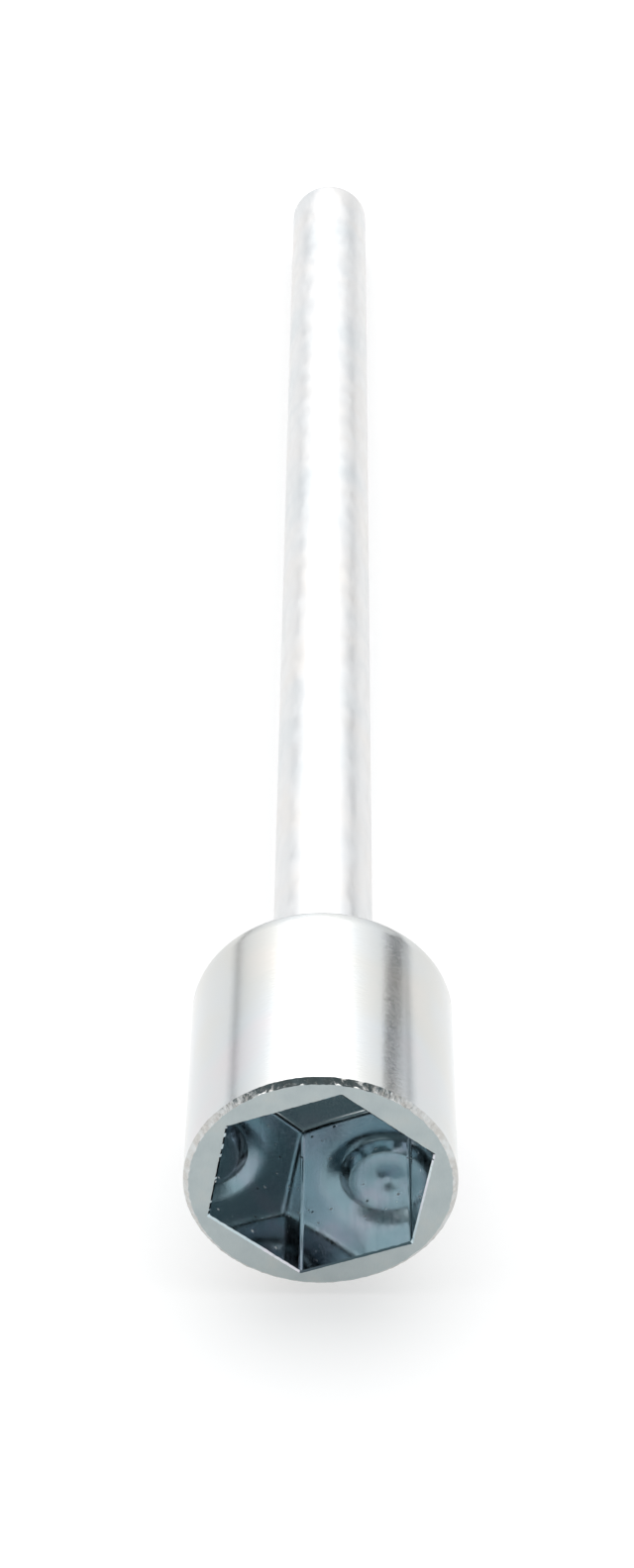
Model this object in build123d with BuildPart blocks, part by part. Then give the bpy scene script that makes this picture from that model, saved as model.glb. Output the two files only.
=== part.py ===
from build123d import *

import os

# Lug wrench: a round socket head with a blind hexagon, welded to a plain round rod.
# The origin is the centre of the head's open face. +Y runs along the rod, away from the mouth,
# +Z is up and +X is to the right of someone who looks into the mouth. Lengths are in millimetres.

# Mouth to far end
overall_length = 200.0

# Hexagon, made for a 19 mm nut. Its clock angle is that of one corner, from +X towards +Z.
hex_across_flats = 19.1
hex_depth = 20.0
hex_clock_angle = 20.0
hex_lip_break = 0.15

# Steel round the hexagon
wall_over_flats = 3.15
back_wall = 5.0
mouth_chamfer = 0.5
rear_edge_radius = 0.4

# Rod. Its front end is turned down to a spigot, so that it enters the head's bore.
rod_diameter = 10.0
rod_far_radius = 1.0
spigot_step = 0.2
spigot_past_weld = 0.5
spigot_fit_clearance = 0.05
spigot_end_below_floor = 0.5
spigot_chamfer = 0.9
centre_mark_diameter = 1.4
centre_mark_depth = 0.5

# Countersink round the spigot, in the hexagon's floor
countersink_width = 1.5
countersink_angle = 90.0

# Ring of weld behind the head
weld_leg = 2.5
weld_crown = 0.3

# Sizes that follow from those above
head_radius = hex_across_flats / 2 + wall_over_flats
head_length = hex_depth + back_wall
rod_radius = rod_diameter / 2
spigot_radius = rod_radius - spigot_step
bore_radius = spigot_radius + spigot_fit_clearance
spigot_start = hex_depth + spigot_end_below_floor
spigot_end = head_length + weld_leg + spigot_past_weld

# Plane.XZ faces out of the mouth, so a negative offset or extrusion runs along the rod.
mouth_plane = Plane.XZ
floor_plane = mouth_plane.offset(-hex_depth)
spigot_start_plane = mouth_plane.offset(-spigot_start)
spigot_end_plane = mouth_plane.offset(-spigot_end)

os.makedirs("parts", exist_ok=True)

# Socket head: a turned steel blank, broached from the front and bored from the floor.
with BuildPart() as socket_head:
    with BuildSketch(mouth_plane):
        Circle(head_radius)
    extrude(amount=-head_length)

    rim_circles = socket_head.edges().filter_by(GeomType.CIRCLE).sort_by(Axis.Y)
    chamfer(rim_circles[0], length=mouth_chamfer)
    fillet(rim_circles[-1], radius=rear_edge_radius)

    with BuildSketch(mouth_plane):
        RegularPolygon(hex_across_flats / 2, 6, major_radius=False, rotation=hex_clock_angle)
    extrude(amount=-hex_depth, mode=Mode.SUBTRACT)

    lip_edges = socket_head.edges().filter_by(GeomType.LINE).group_by(Axis.Y)[0]
    chamfer(lip_edges, length=hex_lip_break)

    with Locations(floor_plane):
        CounterSinkHole(
            radius=bore_radius,
            counter_sink_radius=bore_radius + countersink_width,
            depth=back_wall,
            counter_sink_angle=countersink_angle,
        )

# Rod: drawn round bar. The bevelled end of its spigot shows in the hexagon's floor.
with BuildPart() as shank_rod:
    with BuildSketch(spigot_start_plane):
        Circle(spigot_radius)
    extrude(amount=spigot_start - spigot_end)
    with BuildSketch(spigot_end_plane):
        Circle(rod_radius)
    extrude(amount=spigot_end - overall_length)

    end_circles = shank_rod.edges().filter_by(GeomType.CIRCLE).sort_by(Axis.Y)
    chamfer(end_circles[0], length=spigot_chamfer)
    fillet(end_circles[-1], radius=rod_far_radius)

    # Centre mark left by the lathe
    with Locations(spigot_start_plane):
        Cone(
            bottom_radius=0,
            top_radius=centre_mark_diameter / 2,
            height=centre_mark_depth,
            align=(Align.CENTER, Align.CENTER, Align.MAX),
            mode=Mode.SUBTRACT,
        )

# Weld bead: a slightly crowned fillet weld all round the spigot, on the head's back face.
with BuildPart() as weld_bead:
    with BuildSketch(Plane.XY):
        with BuildLine():
            toe_on_head = (spigot_radius + weld_leg, head_length)
            root = (spigot_radius, head_length)
            toe_on_rod = (spigot_radius, head_length + weld_leg)
            Polyline(toe_on_head, root, toe_on_rod)
            SagittaArc(toe_on_rod, toe_on_head, weld_crown)
        make_face()
    revolve(axis=Axis.Y)

socket_head.part.label = "socket_head"
shank_rod.part.label = "shank_rod"
weld_bead.part.label = "weld_bead"

export_step(socket_head.part, "parts/socket_head.step")
export_step(shank_rod.part, "parts/shank_rod.step")
export_step(weld_bead.part, "parts/weld_bead.step")
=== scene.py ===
import math

import bmesh
import bpy
from mathutils import Matrix, Vector, noise


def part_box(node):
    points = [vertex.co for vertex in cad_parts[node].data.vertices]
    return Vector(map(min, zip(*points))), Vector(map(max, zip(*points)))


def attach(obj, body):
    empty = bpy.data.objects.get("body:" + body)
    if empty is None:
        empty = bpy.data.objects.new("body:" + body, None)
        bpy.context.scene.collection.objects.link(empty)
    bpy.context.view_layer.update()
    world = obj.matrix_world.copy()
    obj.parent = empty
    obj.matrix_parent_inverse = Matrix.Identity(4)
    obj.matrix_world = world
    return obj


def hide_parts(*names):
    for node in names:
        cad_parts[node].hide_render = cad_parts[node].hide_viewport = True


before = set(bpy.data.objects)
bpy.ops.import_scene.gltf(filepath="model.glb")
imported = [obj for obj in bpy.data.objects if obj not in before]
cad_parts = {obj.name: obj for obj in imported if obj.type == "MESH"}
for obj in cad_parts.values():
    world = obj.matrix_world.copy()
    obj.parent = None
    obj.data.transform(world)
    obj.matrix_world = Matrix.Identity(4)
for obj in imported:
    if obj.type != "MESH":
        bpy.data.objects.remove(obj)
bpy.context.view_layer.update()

# Camera: a long lens, held above and in front of the mouth and looking down along the rod.
camera_data = bpy.data.cameras.new("camera")
camera_data.lens = 79.46
camera_data.sensor_width = 36.0
camera_place = Vector((0.00244, -0.2385, 0.21528))
camera_target = Vector((-0.00078, 0.06386, 0.0))
camera_roll = math.radians(-0.354)
camera = bpy.data.objects.new("camera", camera_data)
aim = (camera_target - camera_place).to_track_quat("-Z", "Y").to_matrix().to_4x4()
camera.matrix_world = Matrix.Translation(camera_place) @ aim @ Matrix.Rotation(camera_roll, 4, "Z")
bpy.context.scene.collection.objects.link(camera)
bpy.context.scene.camera = camera
bpy.context.scene.view_settings.view_transform = "Standard"

# Floor: a plain white paper sweep with a light of its own, so that shadows on it stay soft. The wrench
# lies on two edges, the back of its head and the rod's far end, and the sweep leans as the line
# between them does.
head_low, head_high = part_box("socket_head")
rod_low, rod_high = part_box("shank_rod")
head_radius = head_high.x
head_length = head_high.y
rod_radius = rod_high.x
overall_length = rod_high.y
floor_gap = 0.00003
floor_half_width = 12.0
floor_lean = math.atan2(head_radius - rod_radius, overall_length - head_length)

floor_mesh = bmesh.new()
bmesh.ops.create_grid(floor_mesh, x_segments=2, y_segments=2, size=floor_half_width)
bmesh.ops.rotate(floor_mesh, verts=floor_mesh.verts, matrix=Matrix.Rotation(floor_lean, 3, "X"))
bmesh.ops.translate(floor_mesh, verts=floor_mesh.verts, vec=(0, head_length, -head_radius - floor_gap))
floor_data = bpy.data.meshes.new("floor")
floor_mesh.to_mesh(floor_data)
floor_mesh.free()
floor = bpy.data.objects.new("floor", floor_data)
bpy.context.scene.collection.objects.link(floor)

paper = bpy.data.materials.new("white_paper")
paper.use_nodes = True
paper_shader = paper.node_tree.nodes["Principled BSDF"]
paper_shader.inputs["Base Color"].default_value = (0.5, 0.5, 0.5, 1)
paper_shader.inputs["Roughness"].default_value = 0.9
paper_shader.inputs["Specular IOR Level"].default_value = 0.0
paper_shader.inputs["Emission Color"].default_value = (1, 1, 1, 1)
paper_shader.inputs["Emission Strength"].default_value = 0.5
floor_data.materials.append(paper)

# Light: a large soft white screen behind and above the tool, a pale wall under it and white to both
# sides, with the dark of the room behind the person who looks. The steel takes its streaks from this.
world = bpy.data.worlds.new("studio")
bpy.context.scene.world = world
world.use_nodes = True
sky = world.node_tree
background = sky.nodes["Background"]
looked_at = sky.nodes.new("ShaderNodeTexCoord")
split = sky.nodes.new("ShaderNodeSeparateXYZ")
sky.links.new(looked_at.outputs["Generated"], split.inputs[0])


def fill_ramp(ramp, stops):
    """Sets a colour ramp's stops, each (place, (red, green, blue))."""
    while len(ramp.elements) > 1:
        ramp.elements.remove(ramp.elements[-1])
    ramp.elements[0].position = stops[0][0]
    ramp.elements[0].color = (*stops[0][1], 1)
    for place, colour in stops[1:]:
        ramp.elements.new(place).color = (*colour, 1)


def sum_node(tree, operation, first, second, third=None):
    """Adds a Math node to a node tree; each term is a socket or a number."""
    node = tree.nodes.new("ShaderNodeMath")
    node.operation = operation
    for socket, term in zip(node.inputs, (first, second, third)):
        if isinstance(term, bpy.types.NodeSocket):
            tree.links.new(term, socket)
        elif term is not None:
            socket.default_value = term
    return node.outputs[0]


def smooth_step(tree, value, low, high, low_out=0.0, high_out=1.0):
    """Adds a smooth step from one value to another."""
    node = tree.nodes.new("ShaderNodeMapRange")
    node.interpolation_type = "SMOOTHSTEP"
    tree.links.new(value, node.inputs["Value"])
    node.inputs["From Min"].default_value = low
    node.inputs["From Max"].default_value = high
    node.inputs["To Min"].default_value = low_out
    node.inputs["To Max"].default_value = high_out
    return node.outputs[0]


def mix_colours(tree, factor, first, second, blend="MIX"):
    """Adds a colour mix; each colour is a socket or (red, green, blue)."""
    node = tree.nodes.new("ShaderNodeMix")
    node.data_type = "RGBA"
    node.blend_type = blend
    if isinstance(factor, bpy.types.NodeSocket):
        tree.links.new(factor, node.inputs["Factor"])
    else:
        node.inputs["Factor"].default_value = factor
    for name, colour in (("A", first), ("B", second)):
        if isinstance(colour, bpy.types.NodeSocket):
            tree.links.new(colour, node.inputs[name])
        else:
            node.inputs[name].default_value = (*colour, 1)
    return node.outputs["Result"]


def grey(level, warmth=0.0):
    """A grey, a little warm or a little cold."""
    return (level * (1 + warmth), level, level * (1 - warmth))


screen_strength = 2.4
screen_tilt = -0.12
screen = sky.nodes.new("ShaderNodeValToRGB")
fill_ramp(screen.color_ramp, [
    (0.17, grey(0.95 / screen_strength, -0.02)),
    (0.23, grey(1.00 / screen_strength, -0.02)),
    (0.30, grey(1.13 / screen_strength, -0.02)),
    (0.39, grey(1.26 / screen_strength, -0.01)),
    (0.48, grey(1.42 / screen_strength, -0.01)),
    (0.515, grey(1.58 / screen_strength)),
    (0.55, grey(1.95 / screen_strength)),
    (0.62, grey(1.0)),
    (1.00, grey(1.0)),
])
screen_height = sum_node(sky, "MULTIPLY_ADD", split.outputs["X"], screen_tilt, split.outputs["Z"])
sky.links.new(screen_height, screen.inputs[0])
sweep_edge = sky.nodes.new("ShaderNodeValToRGB")
fill_ramp(sweep_edge.color_ramp, [
    (0.00, grey(1.0)),
    (0.075, grey(1.0)),
    (0.09, grey(0.50)),
    (0.11, grey(0.55)),
    (0.14, grey(0.95)),
    (0.20, grey(1.0)),
])
sky.links.new(split.outputs["Z"], sweep_edge.inputs[0])
far_side = mix_colours(sky, 1.0, screen.outputs[0], sweep_edge.outputs[0], "MULTIPLY")

stand_place = 0.74
stand_half_width = 0.03
from_stand = sum_node(sky, "ABSOLUTE", sum_node(sky, "SUBTRACT", sum_node(
    sky, "DIVIDE", split.outputs["X"], split.outputs["Y"]), stand_place), 0.0)
stand = smooth_step(sky, from_stand, stand_half_width, stand_half_width * 1.8, 1.0, 0.0)
stand_top = smooth_step(sky, split.outputs["Z"], 0.38, 0.44, 1.0, 0.0)
stand_foot = smooth_step(sky, split.outputs["Z"], 0.10, 0.16)
stand_seen = sum_node(sky, "MULTIPLY", sum_node(sky, "MULTIPLY", stand, stand_top), stand_foot)
far_side = mix_colours(sky, stand_seen, far_side, grey(0.05))

near_side = sky.nodes.new("ShaderNodeValToRGB")
fill_ramp(near_side.color_ramp, [
    (0.00, grey(1.05 / screen_strength)),
    (0.50, grey(0.95 / screen_strength)),
    (1.00, grey(1.0)),
])
sky.links.new(split.outputs["Z"], near_side.inputs[0])
room_place = Vector((-math.sin(math.radians(5)), -1, math.tan(math.radians(40)))).normalized()
towards_room = sky.nodes.new("ShaderNodeVectorMath")
towards_room.operation = "DOT_PRODUCT"
sky.links.new(looked_at.outputs["Generated"], towards_room.inputs[0])
towards_room.inputs[1].default_value = room_place
room_seen = smooth_step(sky, towards_room.outputs["Value"], 0.60, 0.80)
near_dark = mix_colours(sky, room_seen, near_side.outputs[0], (0.045, 0.06, 0.065))
side_mix = smooth_step(sky, split.outputs["Y"], -0.15, 0.25)
sky.links.new(mix_colours(sky, side_mix, near_dark, far_side), background.inputs["Color"])
background.inputs["Strength"].default_value = screen_strength

# Socket head: a slug of steel bar, turned outside and faced at the mouth, with a six-point hexagon sunk
# into it down to a shallow cone, and a dished bore through its back wall. Bright zinc plated.
mouth_bevel = 0.0005
rear_round = 0.0004
hex_across_flats = 0.0191
hex_depth = 0.020
hex_first_corner = math.radians(20)
hex_corner_setback = 0.00015
hex_lip = 0.00017
floor_slope = math.radians(10)
floor_round = 0.0002
dish_radius = 0.00635
dish_slope = math.radians(20)
dish_blend = 0.00012
bore_radius = 0.00485
outer_facets = 512
wall_facets = 384
rings_along = 24
rough_edge = 0.00007
lip_ragged = 0.004
bevel_rings = 5
rear_rings = 4
cone_rings = 8
dish_rings = 12
bore_rings = 4
cone_margin = 0.0004
lip_burr_length = 0.0004
lip_ragged_length = 0.0003
long_tear = 0.0006
short_tear = 0.00025

corner_radius = hex_across_flats / math.sqrt(3)
barrel_radius_at_rear = head_radius - rear_round


def floor_depth(radius):
    """Depth of the hexagon's floor at a radius: a shallow cone that turns down into the dish."""
    cone = hex_depth + (corner_radius - radius) * math.tan(floor_slope)
    dish_edge = hex_depth + (corner_radius - dish_radius) * math.tan(floor_slope)
    dish = dish_edge + (dish_radius - radius) * math.tan(dish_slope)
    return (cone + dish + math.hypot(cone - dish, dish_blend)) / 2 - dish_blend / 8


def grow_ring(solid, ring, place):
    """Extrudes a ring of edges, sends each new point to place(point) and returns the new ring."""
    grown = bmesh.ops.extrude_edge_only(solid, edges=ring)["geom"]
    points = [part for part in grown if isinstance(part, bmesh.types.BMVert)]
    for point in points:
        point.co = place(point.co)
    kept = set(points)
    return [part for part in grown if isinstance(part, bmesh.types.BMEdge) and set(part.verts) <= kept]


def spread(point, factor, along):
    """A point moved out from the axis by a factor and set at a place along it."""
    return Vector((point.x * factor, along, point.z * factor))


def wander(point, size, seed):
    """A steady random number from -1 to 1 that changes over a given length."""
    return noise.noise(point / size + Vector((seed, seed * 2.3, seed * 5.1)))


head = bmesh.new()
face_forward = Matrix.Rotation(math.radians(90), 4, "X")
clock = Matrix.Rotation(hex_first_corner - math.radians(30), 4, "Z")
lip_factor = 1 + 2 * hex_lip / hex_across_flats
bmesh.ops.create_circle(head, cap_ends=False, radius=corner_radius * lip_factor, segments=6,
                        matrix=face_forward @ clock)
bmesh.ops.bevel(head, geom=head.verts[:], offset=hex_corner_setback, offset_type="OFFSET",
                segments=3, profile=0.5, affect="VERTICES", material=-1)
sides = [edge for edge in head.edges if edge.calc_length() > hex_across_flats / 4]
bmesh.ops.subdivide_edges(head, edges=sides, cuts=wall_facets // 6 - 4)
lip_ring = head.edges[:]
ring = grow_ring(head, lip_ring, lambda p: spread(
    p, 1 / lip_factor, hex_lip * (1 + 0.5 * wander(p, lip_burr_length, 2))))
wall_start = hex_lip * 2
wall_end = hex_depth - floor_round * 2
ring = grow_ring(head, ring, lambda p: Vector((p.x, wall_start, p.z)))
for step in range(1, rings_along + 1):
    level = wall_start + (wall_end - wall_start) * step / rings_along
    ring = grow_ring(head, ring, lambda p: Vector((p.x, level, p.z)))
ring = grow_ring(head, ring, lambda p: spread(p, 1, floor_depth(math.hypot(p.x, p.z)) - floor_round))
inset = 1 - 2 * floor_round * (1 - math.sqrt(0.5)) / hex_across_flats
ring = grow_ring(head, ring, lambda p: spread(p, inset, p.y + floor_round * math.sqrt(0.5)))
inset = 1 - 2 * floor_round * math.sqrt(0.5) / hex_across_flats
ring = grow_ring(head, ring, lambda p: spread(p, inset, floor_depth(math.hypot(p.x, p.z) * inset)))
start_radius = dish_radius + cone_margin
for left in range(cone_rings, 0, -1):
    ring = grow_ring(head, ring, lambda p: spread(
        p, 1 - (1 - start_radius / math.hypot(p.x, p.z)) / left, p.y))
    for point in {point for edge in ring for point in edge.verts}:
        point.co.y = floor_depth(math.hypot(point.co.x, point.co.z))
for step in range(1, dish_rings + 1):
    radius = start_radius + (bore_radius - start_radius) * step / dish_rings
    ring = grow_ring(head, ring, lambda p: spread(p, radius / math.hypot(p.x, p.z), floor_depth(radius)))
for step in range(1, bore_rings + 1):
    level = floor_depth(bore_radius) + (head_length - floor_depth(bore_radius)) * step / bore_rings
    ring = grow_ring(head, ring, lambda p: Vector((p.x, level, p.z)))
bore_ring = ring
for point in {point for edge in lip_ring for point in edge.verts}:
    point.co = spread(point.co, 1 + lip_ragged * wander(point.co, lip_ragged_length, 1), 0)

def torn(point):
    """How far the tool tore the bevel's edge at a point."""
    return rough_edge * (wander(point, long_tear, 3) + 0.6 * wander(point, short_tear, 4))


def moved_to(point, radius, along):
    """A point moved to a radius from the axis and a place along it."""
    return spread(point, radius / math.hypot(point.x, point.z), along)


bmesh.ops.create_circle(head, cap_ends=False, radius=head_radius - mouth_bevel, segments=outer_facets,
                        matrix=face_forward)
mouth_circle = [edge for edge in head.edges if edge.is_wire]
for point in {point for edge in mouth_circle for point in edge.verts}:
    point.co = moved_to(point.co, head_radius - mouth_bevel + torn(point.co), 0)
ring = mouth_circle
for step in range(1, bevel_rings):
    along = mouth_bevel * step / bevel_rings
    ring = grow_ring(head, ring, lambda p: moved_to(
        p, head_radius - mouth_bevel + along - abs(torn(p)), along + abs(torn(p)) / 2))
ring = grow_ring(head, ring, lambda p: moved_to(p, head_radius, mouth_bevel + torn(p)))
barrel_end = head_length - rear_round
for step in range(1, rings_along + 1):
    along = mouth_bevel * 2 + (barrel_end - mouth_bevel * 2) * step / rings_along
    ring = grow_ring(head, ring, lambda p: moved_to(p, head_radius, along))
for step in range(1, rear_rings + 1):
    turn = math.radians(90) * step / rear_rings
    ring = grow_ring(head, ring, lambda p: moved_to(
        p, barrel_radius_at_rear + rear_round * math.cos(turn), barrel_end + rear_round * math.sin(turn)))
back_circle = ring
bmesh.ops.triangle_fill(head, use_beauty=True, edges=mouth_circle + lip_ring)
bmesh.ops.triangle_fill(head, use_beauty=True, edges=back_circle + bore_ring)
bmesh.ops.recalc_face_normals(head, faces=head.faces)

for face in head.faces:
    face.smooth = True
    middle = face.calc_center_median()
    out = math.hypot(middle.x, middle.z)
    on_bevel = mouth_bevel * 0.02 < middle.y < mouth_bevel * 1.1
    if out > head_radius - mouth_bevel * 1.3 and on_bevel:
        face.material_index = 2
    elif out > corner_radius * 1.02 or middle.y > head_length - rear_round:
        face.material_index = 0 if middle.y > mouth_bevel * 0.5 else 1
    elif middle.y < hex_lip * 0.1:
        face.material_index = 1
    elif middle.y < hex_depth - floor_round * 2.01:
        face.material_index = 3
    else:
        face.material_index = 4
sharp_angle = math.radians(28)
for edge in head.edges:
    edge.smooth = edge.calc_face_angle(0) < sharp_angle
head_data = bpy.data.meshes.new("turned_head")
head.to_mesh(head_data)
head.free()
turned_head = bpy.data.objects.new("turned_head", head_data)
bpy.context.scene.collection.objects.link(turned_head)


def cloud(tree, place, scale, detail=3.0, roughness=0.5):
    """Adds a noise texture on a place socket; the scale is in cycles per metre or one for each axis."""
    if isinstance(scale, tuple):
        stretch = tree.nodes.new("ShaderNodeMapping")
        stretch.inputs["Scale"].default_value = scale
        tree.links.new(place, stretch.inputs["Vector"])
        place, scale = stretch.outputs[0], 1.0
    texture = tree.nodes.new("ShaderNodeTexNoise")
    texture.inputs["Scale"].default_value = scale
    texture.inputs["Detail"].default_value = detail
    texture.inputs["Roughness"].default_value = roughness
    tree.links.new(place, texture.inputs["Vector"])
    return texture.outputs["Fac"]


def tinted(tree, value, stops):
    """Adds a colour ramp on a value."""
    ramp = tree.nodes.new("ShaderNodeValToRGB")
    fill_ramp(ramp.color_ramp, stops)
    tree.links.new(value, ramp.inputs[0])
    return ramp.outputs[0]


def relief(tree, layers):
    """Chains bumps, each (height socket, distance in metres), into the shader's normal."""
    normal = None
    for height, distance in layers:
        bump = tree.nodes.new("ShaderNodeBump")
        bump.inputs["Distance"].default_value = distance
        tree.links.new(height, bump.inputs["Height"])
        if normal is not None:
            tree.links.new(normal, bump.inputs["Normal"])
        normal = bump.outputs[0]
    tree.links.new(normal, tree.nodes["Principled BSDF"].inputs["Normal"])


def bare_metal(name):
    """A new metal material: its node tree, its shader and its object coordinates."""
    metal = bpy.data.materials.new(name)
    metal.use_nodes = True
    shader = metal.node_tree.nodes["Principled BSDF"]
    shader.inputs["Metallic"].default_value = 1.0
    place = metal.node_tree.nodes.new("ShaderNodeTexCoord").outputs["Object"]
    return metal, metal.node_tree, shader, place


def unrolled(tree, place, radius):
    """Coordinates on an unrolled barrel: round it in x, along it in y, both in metres."""
    axes = tree.nodes.new("ShaderNodeSeparateXYZ")
    tree.links.new(place, axes.inputs[0])
    turn = sum_node(tree, "ARCTAN2", axes.outputs["X"], axes.outputs["Z"])
    flat = tree.nodes.new("ShaderNodeCombineXYZ")
    tree.links.new(sum_node(tree, "MULTIPLY", turn, radius), flat.inputs["X"])
    tree.links.new(axes.outputs["Y"], flat.inputs["Y"])
    return flat.outputs[0]


def turned_zinc():
    """The barrel: short hairlines round it from the turning, under a faint rainbow of passivate."""
    metal, tree, shader, place = bare_metal("turned_zinc")
    flat = unrolled(tree, place, head_radius)
    tint = tinted(tree, cloud(tree, place, 90.0, 2.0), [
        (0.30, (0.62, 0.60, 0.61)),
        (0.45, (0.59, 0.61, 0.62)),
        (0.60, (0.60, 0.60, 0.58)),
        (0.75, (0.63, 0.61, 0.58)),
    ])
    tree.links.new(tint, shader.inputs["Base Color"])
    hairs = cloud(tree, flat, (1500.0, 7000.0, 1.0), 2.0, 0.6)
    waves = cloud(tree, flat, (500.0, 1500.0, 1.0), 2.0)
    tree.links.new(smooth_step(tree, hairs, 0.3, 0.7, 0.09, 0.16), shader.inputs["Roughness"])
    relief(tree, [(hairs, 0.000006), (waves, 0.000004)])
    return metal


def faced_zinc_painted_shade():
    """The ring round the hexagon: ground flat, with a fine upright grain and a satin look, and a base
    colour darkened as painted shade for the shadowed floor it reflects.
    """
    metal, tree, shader, place = bare_metal("faced_zinc_painted_shade")
    # Painted shade: this tint is kept well below the barrel's zinc, standing in for the shadow on the
    # floor that the face reflects.
    tint = tinted(tree, cloud(tree, place, 350.0, 4.0), [
        (0.30, (0.37, 0.42, 0.43)),
        (0.55, (0.41, 0.46, 0.465)),
        (0.75, (0.44, 0.47, 0.46)),
    ])
    tree.links.new(tint, shader.inputs["Base Color"])
    grain = cloud(tree, place, (8000.0, 1000.0, 1500.0), 3.0, 0.6)
    tree.links.new(smooth_step(tree, grain, 0.3, 0.7, 0.30, 0.45), shader.inputs["Roughness"])
    relief(tree, [(grain, 0.000006)])
    return metal


def bevelled_zinc():
    """The bevel at the mouth: cut roughly, with torn facets and a brown tinge."""
    metal, tree, shader, place = bare_metal("bevelled_zinc")
    tint = tinted(tree, cloud(tree, place, 900.0, 3.0), [
        (0.35, (0.60, 0.62, 0.62)),
        (0.60, (0.50, 0.49, 0.47)),
        (0.75, (0.66, 0.66, 0.64)),
    ])
    tree.links.new(tint, shader.inputs["Base Color"])
    tears = cloud(tree, place, 2200.0, 4.0, 0.65)
    tree.links.new(smooth_step(tree, tears, 0.3, 0.7, 0.08, 0.25), shader.inputs["Roughness"])
    relief(tree, [(tears, 0.00006)])
    return metal


def broached_zinc():
    """The hexagon's walls: bright, with fine streaks along the tool, teal and violet passivate, and
    specks of pale salt and dark pits."""
    metal, tree, shader, place = bare_metal("broached_zinc")
    tint = tinted(tree, cloud(tree, place, 160.0, 2.0), [
        (0.30, (0.52, 0.64, 0.68)),
        (0.50, (0.56, 0.66, 0.70)),
        (0.62, (0.66, 0.66, 0.72)),
        (0.75, (0.62, 0.70, 0.72)),
    ])
    streaks = cloud(tree, place, (6000.0, 120.0, 6000.0), 3.0, 0.6)
    tint = mix_colours(tree, smooth_step(tree, streaks, 0.45, 0.75, 0.0, 0.35), tint, (0.36, 0.45, 0.50))
    cells = tree.nodes.new("ShaderNodeTexVoronoi")
    cells.inputs["Scale"].default_value = 950.0
    tree.links.new(place, cells.inputs["Vector"])
    kind = tree.nodes.new("ShaderNodeSeparateColor")
    tree.links.new(cells.outputs["Color"], kind.inputs[0])
    dot = smooth_step(tree, cells.outputs["Distance"], 0.12, 0.17, 1.0, 0.0)
    salt = sum_node(tree, "MULTIPLY", dot, smooth_step(tree, kind.outputs[0], 0.74, 0.76))
    pit = sum_node(tree, "MULTIPLY", dot, smooth_step(tree, kind.outputs[0], 0.18, 0.20, 1.0, 0.0))
    tint = mix_colours(tree, salt, tint, (0.85, 0.88, 0.90))
    tint = mix_colours(tree, pit, tint, (0.02, 0.03, 0.035))
    tree.links.new(tint, shader.inputs["Base Color"])
    marked = sum_node(tree, "MAXIMUM", salt, pit)
    tree.links.new(sum_node(tree, "SUBTRACT", 1.0, marked), shader.inputs["Metallic"])
    tree.links.new(smooth_step(tree, streaks, 0.3, 0.7, 0.03, 0.10), shader.inputs["Roughness"])
    relief(tree, [(streaks, 0.00000012), (cloud(tree, place, (900.0, 200.0, 900.0), 2.0), 0.0000005)])
    return metal


def sunk_zinc():
    """The hexagon's floor and its dish: pressed by the punch, bright, with a faint ripple."""
    metal, tree, shader, place = bare_metal("sunk_zinc")
    tint = tinted(tree, cloud(tree, place, 300.0, 3.0), [
        (0.30, (0.60, 0.66, 0.68)),
        (0.70, (0.70, 0.74, 0.75)),
    ])
    tree.links.new(tint, shader.inputs["Base Color"])
    grains = cloud(tree, place, 3000.0, 4.0, 0.6)
    tree.links.new(smooth_step(tree, grains, 0.3, 0.7, 0.08, 0.2), shader.inputs["Roughness"])
    relief(tree, [(grains, 0.000006)])
    return metal


for finish in (turned_zinc, faced_zinc_painted_shade, bevelled_zinc, broached_zinc, sunk_zinc):
    head_data.materials.append(finish())
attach(turned_head, "root")
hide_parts("socket_head")

# Rod: cold-drawn round bar, turned down at the front to a spigot that shows in the hexagon's floor,
# centre-marked and bevelled there, and rounded over at the far end. Bright zinc plated.
rod_start = rod_low.y
spigot_radius = 0.0048
spigot_end = 0.028
spigot_bevel = 0.0009
spigot_cone = math.radians(4)
centre_mark_radius = 0.0007
centre_mark_depth = 0.0005
far_round = 0.001
spigot_edge_round = 0.0001
rod_facets = 192
rod_rings = 30

rod = bmesh.new()
disc_radius = spigot_radius - spigot_bevel
outline = [
    (0, rod_start + centre_mark_depth),
    (centre_mark_radius, rod_start + (disc_radius - centre_mark_radius) * math.tan(spigot_cone)),
    (disc_radius, rod_start),
    (spigot_radius, rod_start + spigot_bevel),
    (spigot_radius, spigot_end),
    (rod_radius, spigot_end),
    (rod_radius, overall_length),
    (0, overall_length),
]
corners = [rod.verts.new((across, along, 0)) for across, along in outline]
for pair in zip(corners, corners[1:]):
    rod.edges.new(pair)
bmesh.ops.bevel(rod, geom=[corners[2], corners[3]], offset=spigot_edge_round,
                offset_type="OFFSET", segments=3, profile=0.5, affect="VERTICES", material=-1)
bmesh.ops.bevel(rod, geom=[corners[6]], offset=far_round, offset_type="OFFSET", segments=8,
                profile=0.5, affect="VERTICES", material=-1)
longest = max(rod.edges, key=lambda edge: edge.calc_length())
bmesh.ops.subdivide_edges(rod, edges=[longest], cuts=rod_rings)
bmesh.ops.spin(rod, geom=rod.verts[:] + rod.edges[:], cent=(0, 0, 0), axis=(0, 1, 0),
               angle=math.tau, steps=rod_facets, use_merge=True)
bmesh.ops.remove_doubles(rod, verts=rod.verts, dist=0.0000001)
bmesh.ops.recalc_face_normals(rod, faces=rod.faces)
for face in rod.faces:
    face.smooth = True
    face.material_index = 1 if face.calc_center_median().y < spigot_end else 0
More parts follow.
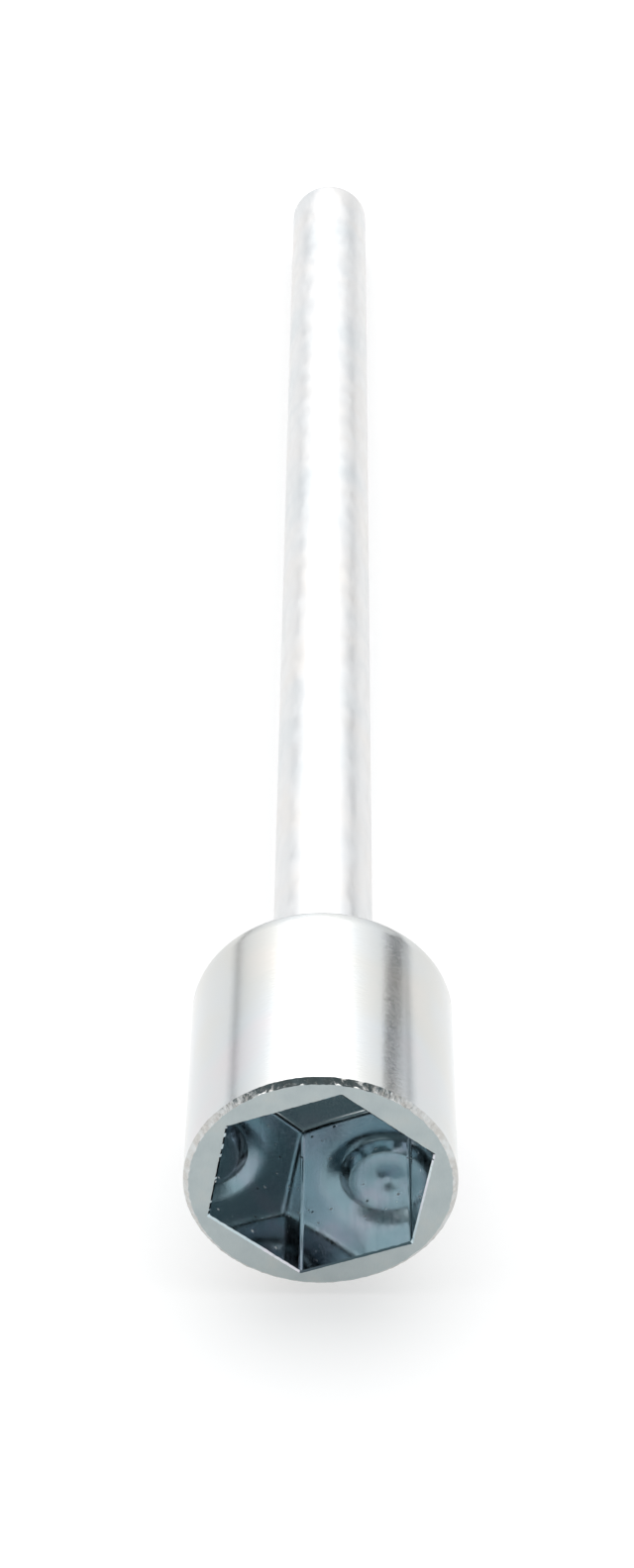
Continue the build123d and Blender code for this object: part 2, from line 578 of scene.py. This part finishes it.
for edge in rod.edges:
    edge.smooth = edge.calc_face_angle(0) < sharp_angle
rod_data = bpy.data.meshes.new("drawn_rod")
rod.to_mesh(rod_data)
rod.free()
drawn_rod = bpy.data.objects.new("drawn_rod", rod_data)
bpy.context.scene.collection.objects.link(drawn_rod)


def drawn_zinc():
    """The rod: satin from the drawing die, with faint streaks along it and clouds in the plate."""
    metal, tree, shader, place = bare_metal("drawn_zinc")
    tint = tinted(tree, cloud(tree, place, 120.0, 4.0), [
        (0.30, (0.66, 0.68, 0.69)),
        (0.50, (0.71, 0.71, 0.71)),
        (0.70, (0.73, 0.71, 0.69)),
    ])
    tree.links.new(tint, shader.inputs["Base Color"])
    streaks = cloud(tree, place, (2500.0, 250.0, 2500.0), 4.0, 0.6)
    clouds = cloud(tree, place, (900.0, 300.0, 900.0), 3.0)
    tree.links.new(smooth_step(tree, clouds, 0.3, 0.7, 0.28, 0.42), shader.inputs["Roughness"])
    relief(tree, [(streaks, 0.000003), (clouds, 0.000006)])
    return metal


rod_data.materials.append(drawn_zinc())
rod_data.materials.append(sunk_zinc())
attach(drawn_rod, "root")
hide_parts("shank_rod")

# Weld bead: one run of weld laid round the spigot against the back of the head, plated with the rest.
weld_radius = 0.006


def welded_zinc():
    """The weld: coarse ripples across the run, under plate that took unevenly and a little dull."""
    metal, tree, shader, place = bare_metal("weld_zinc")
    tint = tinted(tree, cloud(tree, place, 500.0, 4.0), [
        (0.30, (0.44, 0.46, 0.47)),
        (0.55, (0.54, 0.56, 0.57)),
        (0.75, (0.60, 0.58, 0.54)),
    ])
    tree.links.new(tint, shader.inputs["Base Color"])
    ripples = cloud(tree, unrolled(tree, place, weld_radius), (1400.0, 250.0, 1.0), 2.0)
    grains = cloud(tree, place, 2500.0, 3.0)
    tree.links.new(smooth_step(tree, grains, 0.3, 0.7, 0.25, 0.45), shader.inputs["Roughness"])
    relief(tree, [(ripples, 0.00012), (grains, 0.00001)])
    return metal


weld_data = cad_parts["weld_bead"].data
weld_data.materials.clear()
weld_data.materials.append(welded_zinc())
